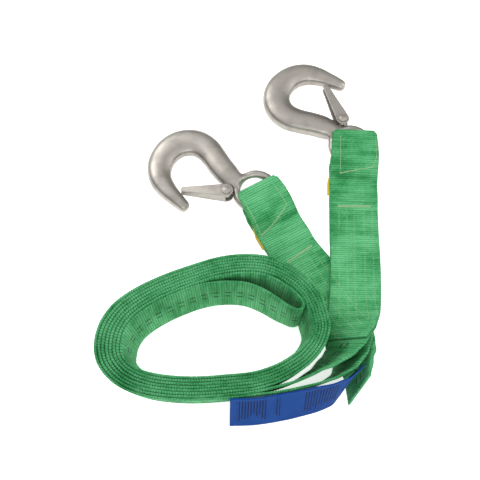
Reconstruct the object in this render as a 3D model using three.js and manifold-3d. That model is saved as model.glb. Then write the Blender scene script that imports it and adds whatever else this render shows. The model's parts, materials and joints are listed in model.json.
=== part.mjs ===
// A tow strap: one length of webbing folded at its middle, rolled from the fold into an oval coil
// that stands on edge, with a forged eye hook in the sewn loop at each end.
// Millimetres, +Z up, +Y away from the viewer. The origin is under the middle of the whole strap.

import * as THREE from 'three';
import { mergeVertices } from 'three/addons/utils/BufferGeometryUtils.js';
import Module from 'manifold-3d';

const wasm = await Module();
wasm.setup();

// Driving dimensions

const GAP = 0.3; // running gap between two pieces that touch

const WEB_WIDTH = 50; // nominal 50 mm webbing
const WEB_THICK = 2.2;
const WEB_STEP = 9; // longest facet of the web
const WEB_BEND = 8; // most degrees that the web turns between two facets

const COIL_LEAN = 8; // degrees that the turns flare outwards at the top
const COIL_START = 0.36; // turns from the fold to where both halves lie in the coil
const COIL_EXIT = 3.84; // turns from the fold to where the ends leave the coil
const COIL_LAST = 3.86; // turns at which the outer half lies on the guide line

const LOOP_OPEN = 30; // from the middle of the eye to where the loop's legs start to close
const LOOP_CLOSED = 41; // from the middle of the eye to the first stitch
const LOOP_PLAIN = 70; // from the middle of the eye to where the tail lies on the strap
const MOUTH_WIDTH = 24; // gathered width of the web where it goes through the eye
const MOUTH_OPEN = 42; // its width over the middle of the eye
const SHOULDER = 49; // its width over the eye's bar
const LEFT_RUN = 108; // from the middle of the left eye to where its strap clears the coil
const LEFT_SHIFT = 4; // how far the strap is pushed aside there
const CROSSING_START = 100; // from the middle of the right eye to where its strap climbs the other
const CROSSING_END = 128; // and to where it lies on top

const LINER_THICK = 0.9;
const LINER_WIDTH = 42;
const LINER_LENGTH = 56; // each leg of the wear liner, from the middle of the eye
const LINER_SHIFT = 6; // the liner stands out on the left of the strap

const EYE_BAR = 8.6; // diameter of the round bar of the hook's eye
const EYE_RADIUS = 19.7; // to the middle of the eye's bar
const HOOK_THICK = 18;
const HOOK_TIP_THICK = 11;

const PIVOT_U = 27.5; // latch pivot, from the middle of the eye towards the bowl
const PIVOT_V = 18; // and towards the tip
const LUG_RADIUS = 5;
const LUG_THICK = 5.6;

const RIVET_DIAMETER = 5;
const RIVET_HEAD = 9.5;
const RIVET_HEAD_HEIGHT = 1.5;

const LATCH_LENGTH = 47; // from the pivot to the tip
const LATCH_ANGLE = 25; // degrees from the hook's axis when it is shut
const LATCH_HEIGHT = 14; // over both cheeks at the pivot
const LATCH_TIP_HEIGHT = 8;
const LATCH_SHEET = 1.5;
const LATCH_HEEL = 7; // radius of the cheek round the pivot
const LATCH_TIP = 3; // radius of the cheek's tip

const SPRING_WIRE = 0.8;
const SPRING_TURNS = 1.25;
const SPRING_LEG = 5;
const SPRING_START = -155; // plan angle in the hook's frame where its coil starts, in degrees
const SPRING_PITCH = 0.85; // from one turn to the next

const LABEL_WIDTH = 51;
const LABEL_THICK = 0.8;

// Small helpers

const vec = (x, y, z) => new THREE.Vector3(x, y, z);
const radians = THREE.MathUtils.degToRad;
const UP = vec(0, 0, 1);
const PLY = WEB_THICK + GAP;
const HOOK_MIDDLE = HOOK_THICK / 2;
const PIVOT_HOLE = RIVET_DIAMETER + 2 * GAP;

// One station of a band by the plan place of its middle, the height of its lowest edge and the
// direction of its width, which points to its upper edge.
function station(x, y, base, wx, wy, wz, width = WEB_WIDTH) {
  const w = vec(wx, wy, wz).normalize();
  const rise = (width / 2) * w.z + (WEB_THICK / 2) * Math.hypot(w.x, w.y);
  return { p: vec(x, y, base + rise), w, width };
}

// The coil

// Closed guide line of the last turn at half the web's height, counter-clockwise from the right.
// The third value is the pitch from one layer to the next at that side of the coil.
const COIL_GUIDE = [
  [81.5, -106, 2.76],
  [79.7, -91, 2.8],
  [73.4, -72, 2.83],
  [59.8, -55, 2.85],
  [40.8, -42.4, 2.86],
  [21.4, -36.2, 2.86],
  [0, -35.5, 2.86],
  [-22, -39, 2.86],
  [-46, -47, 2.87],
  [-69, -56, 2.92],
  [-92, -67.5, 3.05],
  [-113, -83, 3.25],
  [-125, -102, 3.36],
  [-128, -121.5, 3.36],
  [-124, -137, 3.2],
  [-115, -148.5, 3.0],
  [-103, -157, 2.88],
  [-86, -163.5, 2.8],
  [-63, -167, 2.78],
  [-37, -167.6, 2.76],
  [-10, -165.5, 2.76],
  [15, -162.5, 2.76],
  [40, -154, 2.76],
  [63, -139, 2.76],
  [76.5, -122, 2.76],
];

// A point of the guide at some number of turns, with its outward direction and layer pitch.
function guideAt(turns) {
  const count = COIL_GUIDE.length;
  const at = (turns - Math.floor(turns)) * count;
  const index = Math.floor(at);
  const f = at - index;
  const rows = [-1, 0, 1, 2].map((step) => COIL_GUIDE[(index + step + count) % count]);
  const value = (axis) => {
    const [a, b, c, d] = rows.map((row) => row[axis]);
    return b + 0.5 * f * (c - a + f * (2 * a - 5 * b + 4 * c - d + f * (3 * (b - c) + d - a)));
  };
  const slope = (axis) => {
    const [a, b, c, d] = rows.map((row) => row[axis]);
    return 0.5 * (c - a + 2 * f * (2 * a - 5 * b + 4 * c - d) + 3 * f * f * (3 * (b - c) + d - a));
  };
  const along = vec(slope(0), slope(1), 0).normalize();
  return { point: vec(value(0), value(1), 0), out: vec(along.y, -along.x, 0), pitch: value(2) };
}

const COIL_TILT = radians(COIL_LEAN);
const COIL_MIDDLE = (WEB_WIDTH / 2) * Math.cos(COIL_TILT) + (WEB_THICK / 2) * Math.sin(COIL_TILT);

// Layer 0 is the outer strand of each pair, layer 1 the inner strand.
function coilStations(from, to, layer) {
  const count = Math.round(Math.abs(to - from) * COIL_GUIDE.length * 2);
  return Array.from({ length: count + 1 }, (_, i) => {
    const turns = from + ((to - from) * i) / count;
    const { point, out, pitch } = guideAt(turns);
    const p = point.addScaledVector(out, -pitch * (2 * (COIL_LAST - turns) + layer));
    p.z = COIL_MIDDLE;
    const w = UP.clone().multiplyScalar(Math.cos(COIL_TILT)).addScaledVector(out, Math.sin(COIL_TILT));
    return { p, w, width: WEB_WIDTH };
  });
}

// The fold in the middle of the coil: the inner strand crosses the hole and turns back on itself.
const FOLD = [
  station(-38, -69, 0, -0.05, 0.13, 0.99),
  station(-16, -65.3, 0, 0, 0.13, 0.99),
  station(4.5, -66.5, 0, 0.03, 0.13, 0.99),
  station(20, -72.5, 0, 0.05, 0.12, 0.99),
  station(33, -80.5, 0, 0.05, 0.1, 0.99),
  station(44.5, -87.4, 0, 0.03, 0.06, 0.99),
  station(51.2, -90, 0, 0.03, 0.04, 0.99),
  station(56, -88.4, 0, 0.04, 0.04, 0.99),
  station(56.8, -84, 0, 0.06, 0.05, 0.99),
  station(53.6, -79.6, 0, 0.08, 0.08, 0.99),
  station(44.2, -70.6, 0, 0.09, 0.1, 0.99),
  station(31, -61.9, 0, 0.06, 0.12, 0.99),
  station(18.6, -57.3, 0, 0.03, 0.13, 0.99),
  station(0, -56.4, 0, 0, 0.13, 0.99),
  station(-18, -59.4, 0, -0.03, 0.13, 0.99),
  station(-39.3, -66, 0, -0.05, 0.13, 0.99),
];

// The straps

// The right end, from the coil to the flat: it banks outwards and lies down over the other strap.
const RIGHT_EXIT = [
  station(33, -155.2, 0, 0.03, -0.14, 0.99),
  station(50, -149.6, 0, 0.06, -0.16, 0.98),
  station(67, -140.5, 0.3, 0.1, -0.2, 0.97),
  station(81, -131, 0.8, 0.22, -0.3, 0.93),
  station(92.5, -121.5, 2.5, 0.42, -0.28, 0.86),
];

// The part of it that its tail is sewn to, from the bank to the flat.
const RIGHT_TURN = [
  station(100, -111, 4.6, 0.64, -0.14, 0.75),
  station(105.5, -96, 5.5, 0.84, -0.08, 0.53),
  station(109.5, -78, 5.6, 0.97, -0.04, 0.24),
  station(112, -60, 5.6, 1, -0.04, 0.06),
];

// The left end stays outermost, turns tightly and runs flat under the other strap.
const LEFT_EXIT = [
  station(33, -160.4, 0, 0.02, -0.13, 0.99),
  station(54, -156, 0, 0.03, -0.14, 0.99),
  station(72, -151.3, 0, 0.05, -0.14, 0.98),
  station(87, -144.5, 0, 0.12, -0.17, 0.97),
];

// The part of it that the cut end of its tail lies against, from the turn to the flat.
const LEFT_TURN = [
  station(97, -134.5, 0, 0.34, -0.17, 0.92),
  station(101, -122.5, 0.4, 0.62, -0.04, 0.78),
  station(102, -109, 1.4, 0.8, 0.16, 0.52),
  station(100.5, -95, 2.4, 0.87, 0.36, 0.26),
  station(96, -80, 2.7, 0.876, 0.46, 0.06),
];

// The cut end of the left tail leaves the turn and stands free.
const LEFT_TAIL_END = [
  station(107.5, -125, 0.2, 0.6, 0.16, 0.78),
  station(108.6, -141, 0.2, 0.4, 0.3, 0.87),
  station(107.5, -157.5, 0.2, 0.29, 0.37, 0.88),
];

// Each strap's flat run: the middle of its eye, and the plan angle from the eye along the strap.
const LEFT_EYE = vec(19, 49, HOOK_MIDDLE);
const RIGHT_EYE = vec(119.5, 103, HOOK_MIDDLE);
const LEFT_STRAP_ANGLE = -60.5;
const LEFT_HOOK_ANGLE = 147; // plan angle from the eye to the bowl
const RIGHT_HOOK_ANGLE = 141;
const RIGHT_STRAP_ANGLE = -92.4;

// A station of a strap's flat run, at a distance from the eye and a height over the ground.
function runStation(eye, angle, distance, height, width = WEB_WIDTH, shift = 0) {
  const along = vec(Math.cos(radians(angle)), Math.sin(radians(angle)), 0);
  const side = vec(-along.y, along.x, 0);
  const p = vec(eye.x, eye.y, height).addScaledVector(along, distance).addScaledVector(side, shift);
  return { p, w: side, width };
}

// Heights of the two legs of an eye loop, for a band that lies outside the eye's bar.
const LINER_ROOM = 2 * (LINER_THICK + GAP);
const LOW_LEG = WEB_THICK / 2;
const HIGH_LEG = HOOK_MIDDLE + EYE_BAR / 2 + LINER_ROOM / 2 + GAP + WEB_THICK / 2;
const SEWN_LEG = LOW_LEG + PLY + LINER_ROOM;
const PLAIN_LEG = LOW_LEG + PLY;

// The half turn of the web through the eye, from its upper leg to its lower leg.
function mouth(eye, angle) {
  const radius = (HIGH_LEG - LOW_LEG) / 2;
  const middle = (HIGH_LEG + LOW_LEG) / 2;
  const steps = 8;
  return Array.from({ length: steps + 1 }, (_, i) => {
    const turn = (Math.PI * i) / steps;
    const spread = Math.abs(Math.cos(turn)) ** 3;
    const height = middle + radius * Math.cos(turn);
    const width = MOUTH_WIDTH + (MOUTH_OPEN - MOUTH_WIDTH) * spread;
    return runStation(eye, angle, -radius * Math.sin(turn), height, width);
  });
}

// The upper leg of a loop, from the plain strap up to the eye.
function upperLeg(eye, angle) {
  return [
    runStation(eye, angle, LOOP_PLAIN, PLAIN_LEG),
    runStation(eye, angle, LINER_LENGTH + 3, SEWN_LEG),
    runStation(eye, angle, LOOP_CLOSED, SEWN_LEG),
    runStation(eye, angle, LOOP_OPEN, HIGH_LEG - 3),
    runStation(eye, angle, LOOP_OPEN - 9, HIGH_LEG - 0.2, SHOULDER),
    runStation(eye, angle, LOOP_OPEN - 18, HIGH_LEG, SHOULDER - 3),
  ];
}

// The lower leg of a loop, from the eye to the plain strap.
function lowerLeg(eye, angle) {
  return [
    runStation(eye, angle, LOOP_OPEN - 18, LOW_LEG, SHOULDER - 3),
    runStation(eye, angle, LOOP_OPEN - 9, LOW_LEG, SHOULDER),
    runStation(eye, angle, LOOP_OPEN, LOW_LEG),
    runStation(eye, angle, LOOP_CLOSED, LOW_LEG),
    runStation(eye, angle, LOOP_PLAIN, LOW_LEG),
  ];
}

// Stations of a second ply beside the given ones; each run goes from the coil towards its hook.
function plyBeside(stations, offset) {
  return stations.map((s, i) => {
    const before = stations[Math.max(i - 1, 0)].p;
    const after = stations[Math.min(i + 1, stations.length - 1)].p;
    const n = after.clone().sub(before).cross(s.w).normalize();
    return { ...s, p: s.p.clone().addScaledVector(n, offset) };
  });
}

// The whole web, from the cut end on the right strap to the cut end on the left strap.
function webStations() {
  const right = (distance, height) => runStation(RIGHT_EYE, RIGHT_STRAP_ANGLE, distance, height);
  const left = (distance, height) =>
    runStation(LEFT_EYE, LEFT_STRAP_ANGLE, distance, height, WEB_WIDTH, LEFT_SHIFT);
  const crossing = 2 * PLY; // height of the right strap over the two plies of the left one
  return [
    ...plyBeside(RIGHT_TURN, -PLY),
    right(CROSSING_END, PLAIN_LEG + crossing),
    right(CROSSING_START, PLAIN_LEG + 1.2),
    ...upperLeg(RIGHT_EYE, RIGHT_STRAP_ANGLE),
    ...mouth(RIGHT_EYE, RIGHT_STRAP_ANGLE),
    ...lowerLeg(RIGHT_EYE, RIGHT_STRAP_ANGLE),
    right(CROSSING_START, LOW_LEG + 1.2),
    right(CROSSING_END, LOW_LEG + crossing),
    ...RIGHT_TURN.slice().reverse(),
    ...RIGHT_EXIT.slice().reverse(),
    ...coilStations(COIL_EXIT, COIL_START, 1),
    ...FOLD,
    ...coilStations(COIL_START, COIL_EXIT, 0),
    ...LEFT_EXIT,
    ...LEFT_TURN,
    left(LEFT_RUN, PLAIN_LEG),
    ...upperLeg(LEFT_EYE, LEFT_STRAP_ANGLE),
    ...mouth(LEFT_EYE, LEFT_STRAP_ANGLE),
    ...lowerLeg(LEFT_EYE, LEFT_STRAP_ANGLE),
    left(LEFT_RUN, LOW_LEG),
    ...plyBeside(LEFT_TURN, PLY).slice(2).reverse(),
    ...LEFT_TAIL_END,
  ];
}

// Bands

// Resamples stations along a smooth curve, with a new facet at each step or small bend. Nothing
// goes below the ground.
function smoothBand(stations, thick, step, bend) {
  const curve = new THREE.CatmullRomCurve3(stations.map((s) => s.p), false, 'centripetal');
  const last = stations.length - 1;
  const fine = 10;
  const samples = [];
  for (let i = 0; i <= last * fine; i += 1) {
    const index = Math.min(Math.floor(i / fine), last - 1);
    const f = i / fine - index;
    const ease = f * f * (3 - 2 * f);
    const a = stations[index];
    const b = stations[index + 1];
    const t = curve.getTangent(i / (last * fine));
    const w = a.w.clone().lerp(b.w, ease).normalize();
    const p = curve.getPoint(i / (last * fine));
    const width = a.width + (b.width - a.width) * ease;
    const lowest = p.z - (width / 2) * Math.abs(w.z) - (thick / 2) * Math.hypot(w.x, w.y);
    p.z += Math.max(0, -lowest);
    samples.push({ p, t, w, width });
  }
  const kept = [samples[0]];
  for (let i = 1; i < samples.length - 1; i += 1) {
    const from = kept[kept.length - 1];
    const next = samples[i + 1];
    const far = from.p.distanceTo(next.p) > step;
    const bent = THREE.MathUtils.radToDeg(Math.max(from.t.angleTo(next.t), from.w.angleTo(next.w))) > bend;
    if (far || bent) {
      kept.push(samples[i]);
    }
  }
  kept.push(samples[samples.length - 1]);
  return kept;
}

// A closed flat band through the samples, of the given thickness.
function bandGeometry(samples, thick) {
  const positions = [];
  const index = [];
  samples.forEach(({ p, t, w, width }) => {
    const n = t.clone().cross(w).normalize();
    for (const [a, b] of [[1, -1], [1, 1], [-1, 1], [-1, -1]]) {
      const corner = p.clone().addScaledVector(w, (a * width) / 2).addScaledVector(n, (b * thick) / 2);
      positions.push(corner.x, corner.y, corner.z);
    }
  });
  for (let i = 0; i < samples.length - 1; i += 1) {
    for (let side = 0; side < 4; side += 1) {
      const a = 4 * i + side;
      const b = 4 * i + ((side + 1) % 4);
      index.push(a, b, b + 4, a, b + 4, a + 4);
    }
  }
  const end = 4 * (samples.length - 1);
  index.push(0, 3, 2, 0, 2, 1, end, end + 1, end + 2, end, end + 2, end + 3);
  const geometry = new THREE.BufferGeometry();
  geometry.setAttribute('position', new THREE.Float32BufferAttribute(positions, 3));
  geometry.setIndex(index);
  geometry.computeVertexNormals();
  return geometry;
}

// The wear liner lies inside the loop, between the web and the eye's bar. It follows the web of
// its loop at a fixed distance and stands out on the left of the strap.
function linerGeometry(eye, angle) {
  const inset = WEB_THICK / 2 + GAP + LINER_THICK / 2;
  const loop = smoothBand([...upperLeg(eye, angle), ...mouth(eye, angle), ...lowerLeg(eye, angle)],
    WEB_THICK, WEB_STEP, WEB_BEND);
  const reach = (sample) => Math.hypot(sample.p.x - eye.x, sample.p.y - eye.y);
  const samples = loop.filter((sample) => reach(sample) < LINER_LENGTH).map((sample) => {
    const away = THREE.MathUtils.smoothstep(reach(sample), LOOP_OPEN - 9, LOOP_CLOSED);
    const n = sample.t.clone().cross(sample.w).normalize();
    const p = sample.p.clone().addScaledVector(n, inset).addScaledVector(sample.w, -LINER_SHIFT * away);
    return { ...sample, p, width: Math.min(LINER_WIDTH, sample.width - 2) };
  });
  return bandGeometry(samples, LINER_THICK);
}

// The label hangs on the outside of the coil from the seam under the left tail's end.
const LABEL = [
  station(-9, -177.6, 1.5, 0, 0.3, 0.954, LABEL_WIDTH),
  station(14, -176.8, 1.5, 0, 0.3, 0.954, LABEL_WIDTH),
  station(40, -172.6, 1.5, -0.02, 0.3, 0.954, LABEL_WIDTH),
  station(64, -167.4, 1.5, 0, 0.28, 0.96, LABEL_WIDTH),
  station(84, -161.6, 1.5, 0.06, 0.24, 0.97, LABEL_WIDTH),
  station(96, -153.5, 1.5, 0.16, 0.18, 0.96, LABEL_WIDTH),
  station(102.6, -143, 1.5, 0.26, 0.1, 0.96, LABEL_WIDTH),
];

// The hook, in its own frame: u from the middle of the eye to the bowl, v to the side of the tip

// Middle line of the forging from the neck to the tip: u, v, width in the plane, thickness.
const HOOK_LINE = [
  [22, 1, 15, 12],
  [30, 1.5, 19, 15],
  [40, -1, 24, HOOK_THICK],
  [51, -5, 25, HOOK_THICK],
  [63, -10.5, 26, HOOK_THICK],
  [74, -14, 27.5, HOOK_THICK],
  [84, -14, 28.5, HOOK_THICK],
  [94, -9.5, 29, HOOK_THICK],
  [101.5, -1.5, 29, HOOK_THICK],
  [105.3, 9, 28.5, HOOK_THICK],
  [105.5, 21, 27, HOOK_THICK],
  [101.5, 32.5, 25.5, HOOK_THICK],
  [93.5, 42, 23, HOOK_THICK],
  [82, 48, 20, 16],
  [70, 51.5, 15.5, 13.5],
  [60, 54, 12, HOOK_TIP_THICK],
  [54.5, 55.6, 9, 8.5],
  [52.3, 56.2, 4, 4],
];

// Section of the forging: a rounded oblong with flats on its sides, top and bottom.
const HOOK_SECTION = [
  [1, 0.24],
  [0.95, 0.6],
  [0.72, 0.9],
  [0.38, 1],
];

function hookSection() {
  const quarter = HOOK_SECTION;
  const mirrored = quarter.slice().reverse().map(([a, b]) => [-a, b]);
  const half = [...quarter, ...mirrored];
  const lower = half.slice().reverse().map(([a, b]) => [a, -b]);
  return [...half, ...lower].reverse();
}

// A closed solid through rings of points, all in one order, with flat ends.
function loftGeometry(rings) {
  const size = rings[0].length;
  const positions = rings.flat().flatMap((p) => [p.x, p.y, p.z]);
  const index = [];
  for (let i = 0; i < rings.length - 1; i += 1) {
    for (let k = 0; k < size; k += 1) {
      const a = size * i + k;
      const b = size * i + ((k + 1) % size);
      index.push(a, b, b + size, a, b + size, a + size);
    }
  }
  const end = size * (rings.length - 1);
  for (let k = 1; k < size - 1; k += 1) {
    index.push(0, k + 1, k, end, end + k, end + k + 1);
  }
  const geometry = new THREE.BufferGeometry();
  geometry.setAttribute('position', new THREE.Float32BufferAttribute(positions, 3));
  geometry.setIndex(index);
  return geometry;
}

function hookBodyGeometry() {
  const curve = new THREE.CatmullRomCurve3(HOOK_LINE.map(([u, v]) => vec(u, v, 0)), false, 'centripetal');
  const last = HOOK_LINE.length - 1;
  const fine = 2;
  const section = hookSection();
  const rings = Array.from({ length: last * fine + 1 }, (_, i) => {
    const index = Math.min(Math.floor(i / fine), last - 1);
    const f = i / fine - index;
    const mix = (axis) => HOOK_LINE[index][axis] * (1 - f) + HOOK_LINE[index + 1][axis] * f;
    const p = curve.getPoint(i / (last * fine));
    const t = curve.getTangent(i / (last * fine));
    const side = vec(-t.y, t.x, 0);
    return section.map(([a, b]) =>
      p.clone().addScaledVector(side, (-a * mix(2)) / 2).addScaledVector(UP, (b * mix(3)) / 2));
  });
  return loftGeometry(rings);
}

// Solid geometry

function solidOf(geometry) {
  const bare = geometry.clone();
  bare.deleteAttribute('normal');
  bare.deleteAttribute('uv');
  const merged = mergeVertices(bare, 1e-4);
  const vertProperties = new Float32Array(merged.attributes.position.array);
  const triVerts = new Uint32Array(merged.index.array);
  return new wasm.Manifold(new wasm.Mesh({ numProp: 3, vertProperties, triVerts }));
}

function geometryOf(solid) {
  const mesh = solid.getMesh();
  const geometry = new THREE.BufferGeometry();
  geometry.setAttribute('position', new THREE.BufferAttribute(new Float32Array(mesh.vertProperties), 3));
  geometry.setIndex(new THREE.BufferAttribute(new Uint32Array(mesh.triVerts), 1));
  geometry.computeVertexNormals();
  return geometry;
}

// A cylinder that stands in the hook's plane at the latch pivot.
function pivotCylinder(radius, height) {
  return new THREE.CylinderGeometry(radius, radius, height, 24).rotateX(Math.PI / 2)
    .translate(PIVOT_U, PIVOT_V, 0);
}

// The forging: the eye, the body and the lug that the latch turns on, in one piece.
function hookGeometry() {
  const eye = new THREE.TorusGeometry(EYE_RADIUS, EYE_BAR / 2, 12, 48);
  const lugRoot = new THREE.CylinderGeometry(LUG_RADIUS, LUG_RADIUS, LUG_THICK, 24).rotateX(Math.PI / 2)
    .translate(PIVOT_U + 3, PIVOT_V - LUG_RADIUS, 0);
  const solid = solidOf(eye)
    .add(solidOf(hookBodyGeometry()))
    .add(solidOf(pivotCylinder(LUG_RADIUS, LUG_THICK)))
    .add(solidOf(lugRoot))
    .subtract(solidOf(pivotCylinder(PIVOT_HOLE / 2, 2 * HOOK_THICK)));
  return geometryOf(solid);
}

// The latch, in its own frame: s from the pivot to the tip, d to the inside of the hook.
// A folded sheet: two cheeks joined by a back on the outside, all tapering to the tip.
function latchGeometry() {
  const outline = (heel, tip) => {
    const shape = new THREE.Shape();
    shape.absarc(0, 0, heel, Math.PI / 2, (3 * Math.PI) / 2, false);
    shape.absarc(LATCH_LENGTH - tip, tip - heel, tip, (3 * Math.PI) / 2, (5 * Math.PI) / 2, false);
    return shape;
  };
  const cheek = new THREE.ExtrudeGeometry(outline(LATCH_HEEL, LATCH_TIP), {
    depth: LATCH_HEIGHT,
    bevelEnabled: false,
    curveSegments: 10,
  }).translate(0, 0, -LATCH_HEIGHT / 2);
  const inside = new THREE.Shape([
    new THREE.Vector2(-LATCH_HEEL - 1, LATCH_SHEET - LATCH_HEEL),
    new THREE.Vector2(LATCH_LENGTH + 1, LATCH_SHEET - LATCH_HEEL),
    new THREE.Vector2(LATCH_LENGTH + 1, LATCH_HEEL + 1),
    new THREE.Vector2(-LATCH_HEEL - 1, LATCH_HEEL + 1),
  ]);
  const innerHeight = LATCH_HEIGHT - 2 * LATCH_SHEET;
  const hollow = new THREE.ExtrudeGeometry(inside, { depth: innerHeight, bevelEnabled: false })
    .translate(0, 0, -innerHeight / 2);
  const bore = new THREE.CylinderGeometry(PIVOT_HOLE / 2, PIVOT_HOLE / 2, 2 * LATCH_HEIGHT, 24)
    .rotateX(Math.PI / 2);
  const heelCut = new THREE.BoxGeometry(2 * LATCH_HEEL, 2 * LATCH_HEEL, innerHeight)
    .translate(-LATCH_HEEL - 1, 0, 0);
  const solid = solidOf(cheek).subtract(solidOf(hollow)).subtract(solidOf(bore)).subtract(solidOf(heelCut));
  const geometry = geometryOf(solid);
  const position = geometry.attributes.position;
  for (let i = 0; i < position.count; i += 1) {
    const reach = THREE.MathUtils.clamp((position.getX(i) - LATCH_HEEL) / (LATCH_LENGTH - LATCH_HEEL), 0, 1);
    const taper = 1 + (LATCH_TIP_HEIGHT / LATCH_HEIGHT - 1) * reach;
    position.setZ(i, position.getZ(i) * taper);
  }
  return geometry;
}

// The rivet, with a domed head on each cheek.
function rivetGeometry() {
  const seat = LATCH_HEIGHT / 2 + GAP;
  const top = seat + RIVET_HEAD_HEIGHT;
  const half = [
    [RIVET_DIAMETER / 2, seat],
    [RIVET_HEAD / 2, seat],
    [RIVET_HEAD / 2 - 0.4, seat + 0.8],
    [RIVET_HEAD / 4, top - 0.2],
    [0, top],
  ];
  const lower = half.map(([r, z]) => [r, -z]).reverse();
  const profile = [...lower, ...half].map(([r, z]) => new THREE.Vector2(r, z));
  return new THREE.LatheGeometry(profile, 24).rotateX(Math.PI / 2);
}

// The latch spring: a coil round the rivet over the lug, one leg on the hook and one on the latch.
function springGeometry() {
  const radius = RIVET_DIAMETER / 2 + GAP + SPRING_WIRE;
  const base = LUG_THICK / 2 + GAP + SPRING_WIRE / 2;
  const perTurn = 12;
  const count = Math.round(SPRING_TURNS * perTurn);
  const points = Array.from({ length: count + 1 }, (_, i) => {
    const angle = radians(SPRING_START) + (2 * Math.PI * i) / perTurn;
    return vec(radius * Math.cos(angle), radius * Math.sin(angle), base + (SPRING_PITCH * i) / perTurn);
  });
  const leg = (end, inner) => end.clone().addScaledVector(end.clone().sub(inner).normalize(), SPRING_LEG);
  const first = leg(points[0], points[1]);
  const final = leg(points[count], points[count - 1]);
  return wireGeometry([first, ...points, final], SPRING_WIRE / 2, 6);
}

// A closed round wire through points, with flat ends.
function wireGeometry(points, radius, sides) {
  const rings = points.map((p, i) => {
    const before = points[Math.max(i - 1, 0)];
    const after = points[Math.min(i + 1, points.length - 1)];
    const t = after.clone().sub(before).normalize();
    const side = vec(-t.y, t.x, 0).normalize();
    const rise = t.clone().cross(side);
    return Array.from({ length: sides }, (_, k) => {
      const angle = (2 * Math.PI * k) / sides;
      return p.clone().addScaledVector(side, radius * Math.cos(angle))
        .addScaledVector(rise, radius * Math.sin(angle));
    });
  });
  const geometry = loftGeometry(rings);
  geometry.computeVertexNormals();
  return geometry;
}

// Materials

const paint = (color, roughness, metalness) => new THREE.MeshStandardMaterial({ color, roughness, metalness });
const webGreen = () => paint(0x3fae5c, 0.85, 0);
const linerYellow = () => paint(0xd6b83a, 0.8, 0);
const labelBlue = () => paint(0x1f5fae, 0.55, 0);
const zinc = () => paint(0xb9b2aa, 0.38, 1);

function meshOf(name, geometry, material) {
  const mesh = new THREE.Mesh(geometry, material);
  mesh.name = name;
  return mesh;
}

// Assembly

const strap = new THREE.Group();

const web = bandGeometry(smoothBand(webStations(), WEB_THICK, WEB_STEP, WEB_BEND), WEB_THICK);
strap.add(meshOf('webbing', web, webGreen()));
strap.add(meshOf('liner_left', linerGeometry(LEFT_EYE, LEFT_STRAP_ANGLE), linerYellow()));
strap.add(meshOf('liner_right', linerGeometry(RIGHT_EYE, RIGHT_STRAP_ANGLE), linerYellow()));
strap.add(meshOf('label', bandGeometry(smoothBand(LABEL, LABEL_THICK, WEB_STEP, WEB_BEND), LABEL_THICK), labelBlue()));

// A hook with its latch, rivet and spring; flip turns it over for a tip on the other side.
function addHook(side, eye, angle, flip) {
  const hook = new THREE.Group();
  hook.position.copy(eye);
  hook.rotation.set(flip ? Math.PI : 0, 0, radians(angle), 'ZYX');
  hook.add(meshOf(`hook_${side}`, hookGeometry(), zinc()));
  const pivot = new THREE.Group();
  pivot.position.set(PIVOT_U, PIVOT_V, 0);
  pivot.add(meshOf(`rivet_${side}`, rivetGeometry(), zinc()));
  pivot.add(meshOf(`spring_${side}`, springGeometry(), zinc()));
  const latch = meshOf(`latch_${side}`, latchGeometry(), zinc());
  latch.rotation.set(Math.PI, 0, radians(LATCH_ANGLE), 'ZYX');
  pivot.add(latch);
  hook.add(pivot);
  strap.add(hook);
}

addHook('left', LEFT_EYE, LEFT_HOOK_ANGLE, false);
addHook('right', RIGHT_EYE, RIGHT_HOOK_ANGLE, true);

// The origin is under the middle of the strap's box, on the ground.
const bounds = new THREE.Box3().setFromObject(strap, true);
const middle = bounds.getCenter(vec(0, 0, 0));
strap.position.set(-middle.x, -middle.y, -bounds.min.z);
const model = new THREE.Group();
model.add(strap);
model.updateMatrixWorld(true);

export default model;
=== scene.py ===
import json
import math
import random

import bpy
import numpy as np
from mathutils import Matrix, Vector
from mathutils.bvhtree import BVHTree


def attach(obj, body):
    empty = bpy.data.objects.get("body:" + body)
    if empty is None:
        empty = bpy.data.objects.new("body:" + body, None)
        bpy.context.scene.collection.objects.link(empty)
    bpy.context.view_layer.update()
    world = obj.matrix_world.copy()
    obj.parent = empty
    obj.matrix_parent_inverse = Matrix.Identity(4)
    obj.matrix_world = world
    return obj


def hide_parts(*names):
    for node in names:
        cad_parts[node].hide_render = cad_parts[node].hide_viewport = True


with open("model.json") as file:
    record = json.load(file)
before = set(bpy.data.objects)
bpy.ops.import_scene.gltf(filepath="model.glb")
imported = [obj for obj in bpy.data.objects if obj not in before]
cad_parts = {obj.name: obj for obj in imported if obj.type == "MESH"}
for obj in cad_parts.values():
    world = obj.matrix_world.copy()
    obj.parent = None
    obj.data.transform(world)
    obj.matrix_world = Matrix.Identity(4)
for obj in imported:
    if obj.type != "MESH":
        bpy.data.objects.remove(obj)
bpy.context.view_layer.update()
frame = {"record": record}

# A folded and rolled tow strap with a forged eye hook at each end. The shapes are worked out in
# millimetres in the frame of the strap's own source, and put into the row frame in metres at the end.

MM = 0.001
random.seed(7)

# Driving dimensions in millimetres, as in the source

GAP = 0.3
WEB_WIDTH = 50.0
WEB_THICK = 2.2
PLY = WEB_THICK + GAP

COIL_LEAN = math.radians(8)
COIL_START = 0.36
COIL_EXIT = 3.84
COIL_LAST = 3.86

LOOP_OPEN = 30.0
LOOP_CLOSED = 41.0
LOOP_PLAIN = 70.0
MOUTH_WIDTH = 22.0
SHOULDER = 50.0
LOOP_SHIFT = 1.0  # the upper legs lie this far to one side at the eye
LEFT_RUN = 108.0
LEFT_SHIFT = 4.0
CROSSING_START = 100.0
CROSSING_END = 128.0

LINER_THICK = 0.9
LINER_WIDTH = 42.0
LINER_LENGTH = 56.0
LINER_SHIFT = 6.0

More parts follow.
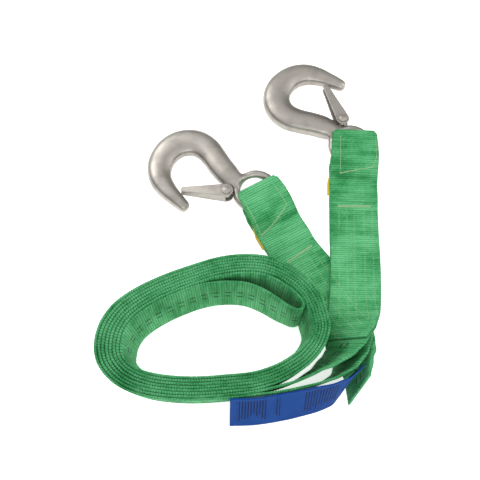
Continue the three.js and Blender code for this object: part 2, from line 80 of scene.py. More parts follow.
EYE_BAR = 8.6
EYE_RADIUS = 19.7
RING_SHIFT = 3.5  # the ring's middle stands this far from the swivel, towards the bowl
HOOK_THICK = 18.0
HOOK_MIDDLE = HOOK_THICK / 2
HOOK_TIP_THICK = 11.0

PIVOT_U = 27.5
PIVOT_V = 18.0
LUG_RADIUS = 5.0
LUG_THICK = 5.6
RIVET_DIAMETER = 5.0
RIVET_HEAD = 9.5
RIVET_HEAD_HEIGHT = 1.5

LATCH_LENGTH = 47.0
LATCH_ANGLE = 25.0
LATCH_HEIGHT = 14.0
LATCH_TIP_HEIGHT = 8.0
LATCH_SHEET = 1.5
LATCH_HEEL = 7.0
LATCH_TIP = 3.0

SPRING_WIRE = 0.8
SPRING_TURNS = 1.25
SPRING_LEG = 5.0
SPRING_START = -155.0
SPRING_PITCH = 0.85

LABEL_WIDTH = 51.0
LABEL_THICK = 0.8

# What the cloth shows

RIB = 2.35  # from one weft rib of the webbing to the next
RIB_DIP = 0.28  # how deep the groove between two ribs is
RIB_SAMPLES = 3
YARNS = 22  # warp yarns across half the web's width
COLUMN = 9.0  # length of the broad light and dark bands
DASH_PLACE = 3.8  # from the web's middle to each row of black tracer dashes
DASH_WIDTH = 1.7
DASH_STEP = 11.5
DASH_SHARE = 0.48  # share of a step that is black
BAR_STEP = 2.6  # from one plain bar on the label to the next
BAR_SHARE = 0.42
BAR_BLOCKS = ((6, 33), (40, 45), (67, 98))  # where bars stand, from the label's free end
THREAD = 0.3  # radius of the sewing thread

# Colours and the floor's glow

GREEN = (0.036, 0.315, 0.095, 1)
GREEN_LIGHT = (0.15, 0.56, 0.25, 1)
GREEN_DARK = (0.004, 0.085, 0.022, 1)
YELLOW = (0.60, 0.38, 0.03, 1)
BLUE = (0.004, 0.042, 0.20, 1)
THREAD_WHITE = (0.55, 0.62, 0.40, 1)
THREAD_GREEN = (0.22, 0.50, 0.20, 1)
ZINC = (0.41, 0.385, 0.35, 1)
ZINC_DARK = (0.17, 0.155, 0.135, 1)
STEEL = (0.30, 0.30, 0.31, 1)
DASH_BLACK = (0.002, 0.008, 0.004, 1)
FLOOR_GLOW = 0.7  # lifts the floor's shadows to the photo's near white

LEFT_EYE = np.array((19.0, 49.0, HOOK_MIDDLE))
RIGHT_EYE = np.array((119.5, 103.0, HOOK_MIDDLE))
LEFT_STRAP_ANGLE = -60.5
RIGHT_STRAP_ANGLE = -92.4
LEFT_HOOK_ANGLE = 147.0
RIGHT_HOOK_ANGLE = 141.0

# The source moves the whole strap to the middle of its box; the left eye says by how much.
swivel = next(j for j in frame["record"]["behaviour"]["joints"] if j["name"] == "left_hook_swivel")
ORIGIN = np.array(swivel["pos_m"]) / MM - LEFT_EYE
UP = np.array((0.0, 0.0, 1.0))


def to_row(points):
    """Millimetres in the source's frame to metres in the row frame."""
    return (np.asarray(points, float) + ORIGIN) * MM


# Camera: 67 degrees above the floor, 750 mm from the point that it looks at

CAMERA_RISE = math.radians(67)
CAMERA_DISTANCE = 750.0
CAMERA_FOCAL = 740.0  # in pixels of the 480 pixel picture
SENSOR = 36.0

camera = bpy.data.objects.new("camera", bpy.data.cameras.new("camera"))
bpy.context.collection.objects.link(camera)
camera.data.sensor_width = SENSOR
camera.data.lens = SENSOR * CAMERA_FOCAL / 480
away = CAMERA_DISTANCE * math.cos(CAMERA_RISE)
camera.location = to_row((0, -away, CAMERA_DISTANCE * math.sin(CAMERA_RISE)))
camera.rotation_euler = (math.pi / 2 - CAMERA_RISE, 0, 0)
camera.data.clip_start = 0.01
camera.data.clip_end = 20
bpy.context.scene.camera = camera


# Stations of a band: its middle, the direction of its width and its width


def unit(v):
    v = np.asarray(v, float)
    return v / np.linalg.norm(v, axis=-1, keepdims=True)


def station(x, y, base, wx, wy, wz, width=WEB_WIDTH):
    """A station by the height of its lowest edge."""
    w = unit((wx, wy, wz))
    rise = width / 2 * w[2] + WEB_THICK / 2 * math.hypot(w[0], w[1])
    return np.array((x, y, base + rise)), w, width


COIL_GUIDE = np.array([
    (81.5, -106, 2.76), (79.7, -91, 2.8), (73.4, -72, 2.83), (59.8, -55, 2.85), (40.8, -42.4, 2.86),
    (21.4, -36.2, 2.86), (0, -35.5, 2.86), (-22, -39, 2.86), (-46, -47, 2.87), (-69, -56, 2.92),
    (-92, -67.5, 3.05), (-113, -83, 3.25), (-125, -102, 3.36), (-128, -121.5, 3.36), (-124, -137, 3.2),
    (-115, -148.5, 3.0), (-103, -157, 2.88), (-86, -163.5, 2.8), (-63, -167, 2.78), (-37, -167.6, 2.76),
    (-10, -165.5, 2.76), (15, -162.5, 2.76), (40, -154, 2.76), (63, -139, 2.76), (76.5, -122, 2.76),
])
COIL_MIDDLE = WEB_WIDTH / 2 * math.cos(COIL_LEAN) + WEB_THICK / 2 * math.sin(COIL_LEAN)


def guide_at(turns):
    """A point of the coil's guide line, its outward direction and the layer pitch there."""
    count = len(COIL_GUIDE)
    at = (turns - math.floor(turns)) * count
    index = int(at)
    f = at - index
    a, b, c, d = (COIL_GUIDE[(index + step) % count] for step in (-1, 0, 1, 2))
    value = b + 0.5 * f * (c - a + f * (2 * a - 5 * b + 4 * c - d + f * (3 * (b - c) + d - a)))
    slope = 0.5 * (c - a + 2 * f * (2 * a - 5 * b + 4 * c - d) + 3 * f * f * (3 * (b - c) + d - a))
    along = unit(slope[:2])
    return np.array((value[0], value[1], 0)), np.array((along[1], -along[0], 0)), value[2]


def coil_stations(start, end, layer):
    """One of the two layers that are rolled up together, from one turn to another."""
    count = round(abs(end - start) * len(COIL_GUIDE) * 2)
    found = []
    for i in range(count + 1):
        turns = start + (end - start) * i / count
        point, out, pitch = guide_at(turns)
        p = point - out * pitch * (2 * (COIL_LAST - turns) + layer)
        p[2] = COIL_MIDDLE
        found.append((p, UP * math.cos(COIL_LEAN) + out * math.sin(COIL_LEAN), WEB_WIDTH))
    return found


FOLD = [
    station(-38, -69, 0, -0.05, 0.13, 0.99),
    station(-16, -65.3, 0, 0, 0.13, 0.99),
    station(4.5, -66.5, 0, 0.03, 0.13, 0.99),
    station(20, -72.5, 0, 0.05, 0.12, 0.99),
    station(33, -80.5, 0, 0.05, 0.1, 0.99),
    station(44.5, -87.4, 0, 0.03, 0.06, 0.99),
    station(51.2, -90, 0, 0.03, 0.04, 0.99),
    station(56, -88.4, 0, 0.04, 0.04, 0.99),
    station(56.8, -84, 0, 0.06, 0.05, 0.99),
    station(53.6, -79.6, 0, 0.08, 0.08, 0.99),
    station(44.2, -70.6, 0, 0.09, 0.1, 0.99),
    station(31, -61.9, 0, 0.06, 0.12, 0.99),
    station(18.6, -57.3, 0, 0.03, 0.13, 0.99),
    station(0, -56.4, 0, 0, 0.13, 0.99),
    station(-18, -59.4, 0, -0.03, 0.13, 0.99),
    station(-39.3, -66, 0, -0.05, 0.13, 0.99),
]
RIGHT_EXIT = [
    station(33, -155.2, 0, 0.03, -0.14, 0.99),
    station(50, -149.6, 0, 0.06, -0.16, 0.98),
    station(67, -140.5, 0.3, 0.1, -0.2, 0.97),
    station(81, -131, 0.8, 0.22, -0.3, 0.93),
    station(92.5, -121.5, 2.5, 0.42, -0.28, 0.86),
]
RIGHT_TURN = [
    station(100, -111, 4.6, 0.64, -0.14, 0.75),
    station(105.5, -96, 5.5, 0.84, -0.08, 0.53),
    station(109.5, -78, 5.6, 0.97, -0.04, 0.24),
    station(112, -60, 5.6, 1, -0.04, 0.06),
]
LEFT_EXIT = [
    station(33, -160.4, 0, 0.02, -0.13, 0.99),
    station(54, -156, 0, 0.03, -0.14, 0.99),
    station(72, -151.3, 0, 0.05, -0.14, 0.98),
    station(87, -144.5, 0, 0.12, -0.17, 0.97),
]
LEFT_TURN = [
    station(97, -134.5, 0, 0.34, -0.17, 0.92),
    station(101, -122.5, 0.4, 0.62, -0.04, 0.78),
    station(102, -109, 1.4, 0.8, 0.16, 0.52),
    station(100.5, -95, 2.4, 0.87, 0.36, 0.26),
    station(96, -80, 2.7, 0.876, 0.46, 0.06),
]
LEFT_TAIL_END = [
    station(107.5, -125, 0.2, 0.6, 0.16, 0.78),
    station(108.6, -141, 0.2, 0.4, 0.3, 0.87),
    station(107.5, -157.5, 0.2, 0.29, 0.37, 0.88),
]
LABEL = [
    station(-9, -178.2, 5.5, 0.02, 0.3, 0.954, LABEL_WIDTH),
    station(14, -177, 3.2, 0.01, 0.3, 0.954, LABEL_WIDTH),
    station(40, -172.6, 1.5, -0.02, 0.3, 0.954, LABEL_WIDTH),
    station(64, -167.4, 1.5, 0, 0.28, 0.96, LABEL_WIDTH),
    station(84, -161.6, 1.5, 0.06, 0.24, 0.97, LABEL_WIDTH),
    station(96, -153.5, 1.5, 0.16, 0.18, 0.96, LABEL_WIDTH),
    station(102.6, -143, 1.5, 0.26, 0.1, 0.96, LABEL_WIDTH),
]

LINER_ROOM = 2 * (LINER_THICK + GAP)
LOW_LEG = WEB_THICK / 2
HIGH_LEG = HOOK_MIDDLE + EYE_BAR / 2 + LINER_ROOM / 2 + GAP + WEB_THICK / 2
SEWN_LEG = LOW_LEG + PLY + LINER_ROOM
PLAIN_LEG = LOW_LEG + PLY


def run_place(eye, angle, distance, shift, height=0.0):
    """A point on a strap's flat run, by its distance from the eye and its shift to the left."""
    a = math.radians(angle)
    along = np.array((math.cos(a), math.sin(a), 0))
    side = np.array((-along[1], along[0], 0))
    place = eye * (1, 1, 0) + along * distance + side * shift
    place[2] = height
    return place, side


def run_station(eye, angle, distance, height, width=WEB_WIDTH, shift=0.0):
    place, side = run_place(eye, angle, distance, shift, height)
    return place, side, width


def mouth(eye, angle, reach):
    """The web through the eye: a lip over the bar, then gathered down through the hole."""
    rows = [
        (-reach + 5.5, HIGH_LEG + 1.1, 47.5, LOOP_SHIFT),
        (-reach + 1.7, HIGH_LEG + 0.5, 43, LOOP_SHIFT),
        (-reach + 0.3, HIGH_LEG - 1.7, 34, LOOP_SHIFT),
        (0.35 * -reach - 5.5, HIGH_LEG - 4, 24, LOOP_SHIFT / 2),
        (-7.8, HOOK_MIDDLE, MOUTH_WIDTH, 0),
        (-6.5, 5, 24, 0),
        (-3.5, 2.2, 32, 0),
        (0.5, LOW_LEG, 42, 0),
    ]
    return [run_station(eye, angle, *row) for row in rows]


def upper_leg(eye, angle):
    """A loop's upper side, from the plain strap to the eye."""
    return [
        run_station(eye, angle, LOOP_PLAIN, PLAIN_LEG),
        run_station(eye, angle, LINER_LENGTH + 3, SEWN_LEG),
        run_station(eye, angle, LOOP_CLOSED, SEWN_LEG),
        run_station(eye, angle, LOOP_OPEN, HIGH_LEG - 3),
        run_station(eye, angle, LOOP_OPEN - 9, HIGH_LEG - 0.2, SHOULDER, LOOP_SHIFT / 2),
        run_station(eye, angle, LOOP_OPEN - 20, HIGH_LEG, SHOULDER, LOOP_SHIFT),
    ]


def lower_leg(eye, angle):
    """A loop's lower side, from the eye to the plain strap."""
    return [
        run_station(eye, angle, LOOP_OPEN - 18, LOW_LEG, SHOULDER - 3),
        run_station(eye, angle, LOOP_OPEN - 9, LOW_LEG, SHOULDER),
        run_station(eye, angle, LOOP_OPEN, LOW_LEG),
        run_station(eye, angle, LOOP_CLOSED, LOW_LEG),
        run_station(eye, angle, LOOP_PLAIN, LOW_LEG),
    ]


LEFT_REACH = 7.5  # how far the bight stands beyond the middle of the eye
RIGHT_REACH = 16.5


def ply_beside(stations, offset):
    """Stations of a second ply on the outside of a first."""
    found = []
    for i, (p, w, width) in enumerate(stations):
        before = stations[max(i - 1, 0)][0]
        after = stations[min(i + 1, len(stations) - 1)][0]
        found.append((p + unit(np.cross(after - before, w)) * offset, w, width))
    return found


def web_stations():
    right_run = (RIGHT_EYE, RIGHT_STRAP_ANGLE)
    left_run = (LEFT_EYE, LEFT_STRAP_ANGLE)
    crossing = 2 * PLY
    return [
        *ply_beside(RIGHT_TURN, -PLY),
        run_station(*right_run, CROSSING_END, PLAIN_LEG + crossing),
        run_station(*right_run, CROSSING_START, PLAIN_LEG + 1.2),
        *upper_leg(*right_run),
        *mouth(*right_run, RIGHT_REACH),
        *lower_leg(*right_run),
        run_station(*right_run, CROSSING_START, LOW_LEG + 1.2),
        run_station(*right_run, CROSSING_END, LOW_LEG + crossing),
        *RIGHT_TURN[::-1],
        *RIGHT_EXIT[::-1],
        *coil_stations(COIL_EXIT, COIL_START, 1),
        *FOLD,
        *coil_stations(COIL_START, COIL_EXIT, 0),
        *LEFT_EXIT,
        *LEFT_TURN,
        run_station(*left_run, LEFT_RUN, PLAIN_LEG, WEB_WIDTH, LEFT_SHIFT),
        *upper_leg(*left_run),
        *mouth(*left_run, LEFT_REACH),
        *lower_leg(*left_run),
        run_station(*left_run, LEFT_RUN, LOW_LEG, WEB_WIDTH, LEFT_SHIFT),
        *ply_beside(LEFT_TURN, PLY)[2:][::-1],
        *LEFT_TAIL_END,
    ]


FINE = 24  # samples between two stations


def smooth_route(stations, thick):
    """Samples on a centripetal curve through the stations: point, direction, width direction, width
    and length so far. Nothing goes below the ground."""
    p = np.array([s[0] for s in stations])
    w = np.array([s[1] for s in stations])
    width = np.array([s[2] for s in stations], float)
    p = np.vstack([2 * p[0] - p[1], p, 2 * p[-1] - p[-2]])
    knots = np.sqrt(np.linalg.norm(np.diff(p, axis=0), axis=1))
    count = len(stations) - 1
    at = np.linspace(0, count, count * FINE + 1)
    i = np.minimum(at.astype(int), count - 1)
    f = (at - i)[:, None]
    d0, d1, d2 = (knots[i + k][:, None] for k in range(3))
    a, b, c, d = (p[i + k] for k in range(4))
    t1 = ((b - a) / d0 - (c - a) / (d0 + d1) + (c - b) / d1) * d1
    t2 = ((c - b) / d1 - (d - b) / (d1 + d2) + (d - c) / d2) * d1
    c2 = -3 * b + 3 * c - 2 * t1 - t2
    c3 = 2 * b - 2 * c + t1 + t2
    point = b + f * (t1 + f * (c2 + f * c3))
    along = unit(t1 + f * (2 * c2 + 3 * f * c3))
    ease = f * f * (3 - 2 * f)
    wide = unit(w[i] * (1 - ease) + w[i + 1] * ease)
    size = width[i] + (width[i + 1] - width[i]) * ease[:, 0]
    lowest = point[:, 2] - size / 2 * abs(wide[:, 2]) - thick / 2 * np.hypot(wide[:, 0], wide[:, 1])
    point[:, 2] += np.maximum(0, -lowest)
    length = np.concatenate([[0], np.cumsum(np.linalg.norm(np.diff(point, axis=0), axis=1))])
    return {"p": point, "t": along, "w": wide, "width": size[:, None], "s": length}


def resample(route, places):
    """The route at the given lengths along it."""
    found = {"s": places}
    for key in ("p", "t", "w", "width"):
        columns = [np.interp(places, route["s"], column) for column in route[key].T]
        found[key] = np.array(columns).T
    found["t"] = unit(found["t"])
    found["w"] = unit(found["w"])
    found["n"] = unit(np.cross(found["t"], found["w"]))
    return found


# Meshes


def link(name, vertices, faces, smooth=True):
    """A new mesh object from points in millimetres in the source's frame."""
    mesh = bpy.data.meshes.new(name)
    mesh.from_pydata(to_row(vertices).tolist(), [], faces)
    mesh.validate()
    mesh.update()
    mesh.polygons.foreach_set("use_smooth", [smooth] * len(mesh.polygons))
    obj = bpy.data.objects.new(name, mesh)
    bpy.context.collection.objects.link(obj)
    return obj


def set_attribute(obj, name, values):
    layer = obj.data.attributes.new(name, "FLOAT", "POINT")
    layer.data.foreach_set("value", np.asarray(values, np.float32).ravel())


def tube_faces(rings, size):
    """Faces of a closed tube of rings, with a flat cap at each end."""
    faces = []
    for i in range(rings - 1):
        for k in range(size):
            a = size * i + k
            b = size * i + (k + 1) % size
            faces.append((a, b, b + size, a + size))
    end = size * (rings - 1)
    faces.append(tuple(range(size - 1, -1, -1)))
    faces.append(tuple(range(end, end + size)))
    return faces


# Across the web: the places of its columns in half widths, from one selvedge to the other.
WEB_COLUMNS = (-0.955, -0.62, -0.21, 0.21, 0.62, 0.955)


def band(name, route, places, thick, columns, relief=None):
    """A closed cloth band. relief(s, across) gives what is added to the half thickness in mm and
    what is taken off the half width."""
    at = resample(route, places)
    count = len(places)
    size = 2 * len(columns) + 2
    across = np.concatenate([[1], columns[::-1], [-1], columns])
    face = np.concatenate([[0], np.ones(len(columns)), [0], -np.ones(len(columns))])
    s = np.repeat(places[:, None], size, 1)
    half = at["width"] / 2 * across
    depth = np.repeat(face[None] * thick / 2, count, 0)
    if relief:
        more, less = relief(s, across[None] * np.ones_like(s))
        depth = depth + more * face
        half = half - less * across
    points = at["p"][:, None] + at["w"][:, None] * half[..., None] + at["n"][:, None] * depth[..., None]
    obj = link(name, points.reshape(-1, 3), tube_faces(count, size))
    set_attribute(obj, "along", s * MM)
    set_attribute(obj, "across", across[None] * np.ones_like(s))
    set_attribute(obj, "face", face[None] * np.ones_like(s))
    return obj


def web_relief(s, across):
    """Weft ribs: two samples of each rib stand proud and one is the groove."""
    step = np.rint(s / RIB * RIB_SAMPLES).astype(int)
    groove = step % RIB_SAMPLES == 0
    rib = step // RIB_SAMPLES
    proud = 0.12 + 0.07 * (rib % 2)
    swell = 0.05 * np.sin(s / 31.0 + 2.0 * across)
    return np.where(groove, -RIB_DIP / 2, proud) + swell, np.where(groove, 0.35, 0.1 * (rib % 2))


web_route = smooth_route(web_stations(), WEB_THICK)
web_length = web_route["s"][-1]
web_places = np.arange(0, web_length, RIB / RIB_SAMPLES)
webbing = band("webbing_cloth", web_route, web_places, WEB_THICK, np.array(WEB_COLUMNS), web_relief)
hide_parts("webbing")
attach(webbing, "strap")


# Liners and label


def liner(name, node, eye, angle, reach):
    """The yellow band on the inside of a loop."""
    inset = WEB_THICK / 2 + GAP + LINER_THICK / 2
    stations = [*upper_leg(eye, angle), *mouth(eye, angle, reach), *lower_leg(eye, angle)]
    loop = smooth_route(stations, WEB_THICK)
    away = np.linalg.norm(loop["p"][:, :2] - eye[:2], axis=1)
    keep = away < LINER_LENGTH
    blend = np.clip((away - LOOP_OPEN + 9) / (LOOP_CLOSED - LOOP_OPEN + 9), 0, 1)[keep, None]
    n = unit(np.cross(loop["t"], loop["w"]))[keep]
    w = loop["w"][keep]
    p = loop["p"][keep] + n * inset - w * LINER_SHIFT * blend
    length = np.concatenate([[0], np.cumsum(np.linalg.norm(np.diff(p, axis=0), axis=1))])
    width = np.minimum(LINER_WIDTH, loop["width"][keep] - 2)
    route = {"p": p, "t": loop["t"][keep], "w": w, "width": width, "s": length}
    obj = band(name, route, np.arange(0, length[-1], 1.5), LINER_THICK, np.linspace(-0.96, 0.96, 7))
    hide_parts(node)
    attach(obj, "strap")
    return obj, length[-1]


liner_left, liner_length = liner("liner_cloth_left", "liner_left", LEFT_EYE, LEFT_STRAP_ANGLE, LEFT_REACH)
liner_right, _ = liner("liner_cloth_right", "liner_right", RIGHT_EYE, RIGHT_STRAP_ANGLE, RIGHT_REACH)

label_route = smooth_route(LABEL, LABEL_THICK)
label_length = label_route["s"][-1]


def label_relief(s, across):
    """A thin folded hem along both edges and at the free end."""
    hem = np.where((abs(across) > 0.9) | (s < 4), 0.12, 0.0)
    return hem, np.zeros_like(s)


label = band("label_cloth", label_route, np.arange(0, label_length, 1.0), LABEL_THICK,
             np.array((-0.98, -0.92, -0.88, -0.6, -0.3, 0, 0.3, 0.6, 0.88, 0.92, 0.98)), label_relief)
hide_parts("label")
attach(label, "strap")


# Hooks


def hook_matrix(eye, angle, flip):
    """From a hook's own frame (u to the bowl, v to the tip's side) to the source's frame."""
    turn = Matrix.Rotation(math.radians(angle), 4, "Z")
    if flip:
        turn = turn @ Matrix.Rotation(math.pi, 4, "X")
    return Matrix.Translation(Vector(eye)) @ turn


def placed(matrix, points):
    m = np.array(matrix)
    return np.asarray(points, float) @ m[:3, :3].T + m[:3, 3]


# Middle line of the forging from the neck to the tip: u, v, width in the plane, thickness
HOOK_LINE = np.array([
    (21, 0.8, 16, 12), (25, 1.2, 18.5, 13.6), (30, 1.3, 21.5, 15.6), (40, -1, 24.5, HOOK_THICK),
    (51, -5, 25.5, HOOK_THICK), (63, -10.5, 26, HOOK_THICK), (74, -14, 27.5, HOOK_THICK),
    (84, -14, 28.5, HOOK_THICK), (94, -9.5, 29, HOOK_THICK), (101.5, -1.5, 29, HOOK_THICK),
    (105.3, 9, 28.5, HOOK_THICK), (105.5, 21, 27, HOOK_THICK), (101.5, 32.5, 25.5, HOOK_THICK),
    (93.5, 42, 23, HOOK_THICK), (82, 48, 20, 16), (70, 51.3, 16, 14.3), (60, 53.6, 13.5, 12.3),
    (55, 54.6, 12, HOOK_TIP_THICK), (52, 55.2, 9.5, 8.5), (50.8, 55.4, 5, 4.5),
])

# Upper half of the forging's section, from the outer edge to the inner edge in half sizes: a broad
# crowned back, a soft crease and a bevel down to the inside of the bowl.
HOOK_SECTION = [
    (1, 0.0), (0.985, 0.3), (0.92, 0.55), (0.79, 0.76), (0.6, 0.9), (0.36, 0.975), (0.1, 1.0),
    (-0.16, 0.99), (-0.36, 0.95), (-0.5, 0.88), (-0.66, 0.78), (-0.83, 0.64), (-0.945, 0.46), (-0.99, 0.26),
    (-1, 0.0),
]


RING_EVERY = 4  # samples of the smooth route from one ring of the forging to the next
LIFT = UP * 100  # keeps the route clear of the ground that smooth_route guards


def hook_rings():
    """The section, swept along the middle line."""
    section = np.array(HOOK_SECTION + [(a, -b) for a, b in HOOK_SECTION[-2:0:-1]])[::-1]
    line = np.column_stack([HOOK_LINE[:, :2], np.zeros(len(HOOK_LINE))])
    route = smooth_route([(p + LIFT, UP, 1.0) for p in line], 0)
    rings = []
    for i in range(0, len(route["s"]), RING_EVERY):
        f = i / FINE
        index = min(int(f), len(HOOK_LINE) - 2)
        width, thick = HOOK_LINE[index, 2:] * (index + 1 - f) + HOOK_LINE[index + 1, 2:] * (f - index)
        t = route["t"][i]
        side = np.array((-t[1], t[0], 0))
        middle = route["p"][i] - LIFT
        rings.append(middle - side * section[:, :1] * width / 2 + UP * section[:, 1:] * thick / 2)
    return rings


def ring_bar(radius, bar, around=96, sides=24):
    vertices = []
    for i in range(around):
        a = 2 * math.pi * i / around
        for k in range(sides):
            b = 2 * math.pi * k / sides
            reach = radius + bar * math.cos(b)
            vertices.append((reach * math.cos(a), reach * math.sin(a), bar * math.sin(b)))
    faces = []
    for i in range(around):
        for k in range(sides):
            a, b = sides * i + k, sides * i + (k + 1) % sides
            c, d = sides * ((i + 1) % around) + (k + 1) % sides, sides * ((i + 1) % around) + k
            faces.append((a, d, c, b))
    return vertices, faces


def lathe(profile, sides=40):
    """A turned solid about Z from (radius, height) points, from the bottom to the top."""
    vertices = []
    for r, z in profile:
        for k in range(sides):
            a = 2 * math.pi * k / sides
            vertices.append((r * math.cos(a), r * math.sin(a), z))
    return vertices, tube_faces(len(profile), sides)


def joined(parts):
    vertices, faces = [], []
    for points, indices in parts:
        start = len(vertices)
        vertices.extend(map(tuple, points))
        faces.extend(tuple(start + k for k in face) for face in indices)
    return vertices, faces


def remeshed(vertices, faces, voxel):
    """The parts as one closed skin; sizes in millimetres."""
    mesh = bpy.data.meshes.new("skin")
    mesh.from_pydata([tuple(map(float, v)) for v in vertices], [], faces)
    source = bpy.data.objects.new("skin", mesh)
    bpy.context.collection.objects.link(source)
    modifier = source.modifiers.new("skin", "REMESH")
    modifier.mode = "VOXEL"
    modifier.voxel_size = voxel
    modifier.adaptivity = 0
    graph = bpy.context.evaluated_depsgraph_get()
    skin = source.evaluated_get(graph).to_mesh()
    points = np.zeros(len(skin.vertices) * 3)
    skin.vertices.foreach_get("co", points)
    edges = np.zeros(len(skin.edges) * 2, int)
    skin.edges.foreach_get("vertices", edges)
    polygons = [tuple(p.vertices) for p in skin.polygons]
    bpy.data.objects.remove(source)
    return points.reshape(-1, 3), edges.reshape(-1, 2), polygons


def relaxed(points, edges, rounds, share):
    """Moves each point towards the mean of its neighbours by its share, again and again."""
    count = len(points)
    ends = np.concatenate([edges, edges[:, ::-1]])
    degree = np.bincount(ends[:, 0], minlength=count)[:, None]
    for _ in range(rounds):
        total = np.column_stack([
            np.bincount(ends[:, 0], weights=points[ends[:, 1], axis], minlength=count) for axis in range(3)
        ])
        points = points + (total / degree - points) * share
    return points


HOOK_VOXEL = 0.75
LATCH_VOXEL = 0.38
SOFTEN = 0.5  # share of each rounding step over a whole skin
FILLET = 0.6  # share of each rounding step at the neck and the lug
FILLET_ROUNDS = 70
NECK = (23, 9)  # middle of the fillets between neck and ring, on both sides
NECK_SIZE = (5.5, 6.5)
ROOT = (PIVOT_U + 2, PIVOT_V - 8)  # middle of the fillet under the latch's lug
ROOT_SIZE = (7, 4)


def around(u, v, middle, size):
    """One at the middle, fading to nothing over the size."""
    return np.exp(-(((u - middle[0]) / size[0]) ** 2 + ((v - middle[1]) / size[1]) ** 2))


def moved(part, u, v):
    return [(x + u, y + v, z) for x, y, z in part[0]], part[1]


def hook_skin():
    """The forging in its own frame, with a filleted neck and lug."""
    rings = hook_rings()
    body = (np.vstack(rings), tube_faces(len(rings), len(rings[0])))
    eye = moved(ring_bar(EYE_RADIUS, EYE_BAR / 2), RING_SHIFT, 0)
    lug = lathe([(LUG_RADIUS, -LUG_THICK / 2), (LUG_RADIUS, LUG_THICK / 2)])
    lug_top = moved(lug, PIVOT_U, PIVOT_V)
    lug_root = moved(lug, PIVOT_U + 3, PIVOT_V - LUG_RADIUS)
    points, edges, polygons = remeshed(*joined([body, eye, lug_top, lug_root]), HOOK_VOXEL)
    points = relaxed(points, edges, 4, SOFTEN)
    neck = around(points[:, 0], abs(points[:, 1]), NECK, NECK_SIZE)
    root = around(points[:, 0], points[:, 1], ROOT, ROOT_SIZE)
    share = np.clip(neck + root, 0, 1) * FILLET
    return relaxed(points, edges, FILLET_ROUNDS, share[:, None]), polygons


hook_points, hook_faces = hook_skin()


def latch_skin():
    """The latch in its own frame: two cheeks and a back, all tapering to the tip."""
    def arc(middle, radius, start):
        angles = np.linspace(start, start + math.pi, 14)
        return [(middle[0] + radius * math.cos(a), middle[1] + radius * math.sin(a)) for a in angles]

    def outline(heel, tip):
        return arc((0, 0), heel, math.pi / 2) + arc((LATCH_LENGTH - tip, tip - heel), tip, -math.pi / 2)

    def plate(shape, low, high):
        count = len(shape)
        vertices = [(x, y, low) for x, y in shape] + [(x, y, high) for x, y in shape]
        return vertices, tube_faces(2, count)

    half = LATCH_HEIGHT / 2
    cheek = outline(LATCH_HEEL, LATCH_TIP)
    back = [(0, -LATCH_HEEL), (LATCH_LENGTH - LATCH_TIP, -LATCH_HEEL),
            (LATCH_LENGTH - LATCH_TIP, LATCH_SHEET - LATCH_HEEL), (0, LATCH_SHEET - LATCH_HEEL)]
    upper = plate(cheek, half - LATCH_SHEET, half)
    lower = plate(cheek, -half, LATCH_SHEET - half)
    wall = plate(back, LATCH_SHEET / 2 - half, half - LATCH_SHEET / 2)
    points, edges, polygons = remeshed(*joined([upper, lower, wall]), LATCH_VOXEL)
    points = relaxed(points, edges, 3, SOFTEN)
    reach = np.clip((points[:, 0] - LATCH_HEEL) / (LATCH_LENGTH - LATCH_HEEL), 0, 1)
    points[:, 2] *= 1 + (LATCH_TIP_HEIGHT / LATCH_HEIGHT - 1) * reach
    return points, polygons


latch_points, latch_faces = latch_skin()


def rivet_parts():
    """The latch's rivet with a stepped head on both sides."""
    seat = LATCH_HEIGHT / 2 + GAP
    top = seat + RIVET_HEAD_HEIGHT
    head = RIVET_HEAD / 2
    upper = [(RIVET_DIAMETER / 2, seat), (head - 0.15, seat), (head, seat + 0.15), (head, seat + 0.5),
             (head - 0.35, seat + 0.75), (head - 1.1, seat + 0.8), (head - 1.3, seat + 0.75),
             (head - 1.6, seat + 1.0), (head - 2.4, top - 0.15), (1.2, top), (0.05, top)]
    lower = [(r, -z) for r, z in upper[::-1]]
    return lathe(lower + upper)


def wire(points, radius, sides=10):
    points = np.asarray(points, float)
    vertices = []
    for i, p in enumerate(points):
        t = unit(points[min(i + 1, len(points) - 1)] - points[max(i - 1, 0)])
        side = unit((-t[1], t[0], 0)) if math.hypot(t[0], t[1]) > 0.1 else np.array((1.0, 0, 0))
        rise = np.cross(t, side)
        for k in range(sides):
            a = 2 * math.pi * k / sides
            vertices.append(p + side * radius * math.cos(a) + rise * radius * math.sin(a))
    return vertices, tube_faces(len(points), sides)


def spring_parts():
    """The torsion spring round the rivet, with two straight legs."""
    radius = RIVET_DIAMETER / 2 + GAP + SPRING_WIRE
    base = LUG_THICK / 2 + GAP + SPRING_WIRE / 2
    per_turn = 32
    count = round(SPRING_TURNS * per_turn)
    points = []
    for i in range(count + 1):
        a = math.radians(SPRING_START) + 2 * math.pi * i / per_turn
        height = base + SPRING_PITCH * i / per_turn
        points.append(np.array((radius * math.cos(a), radius * math.sin(a), height)))
    first = points[0] + unit(points[0] - points[1]) * SPRING_LEG
    final = points[-1] + unit(points[-1] - points[-2]) * SPRING_LEG
    return wire([first, *points, final], SPRING_WIRE / 2)


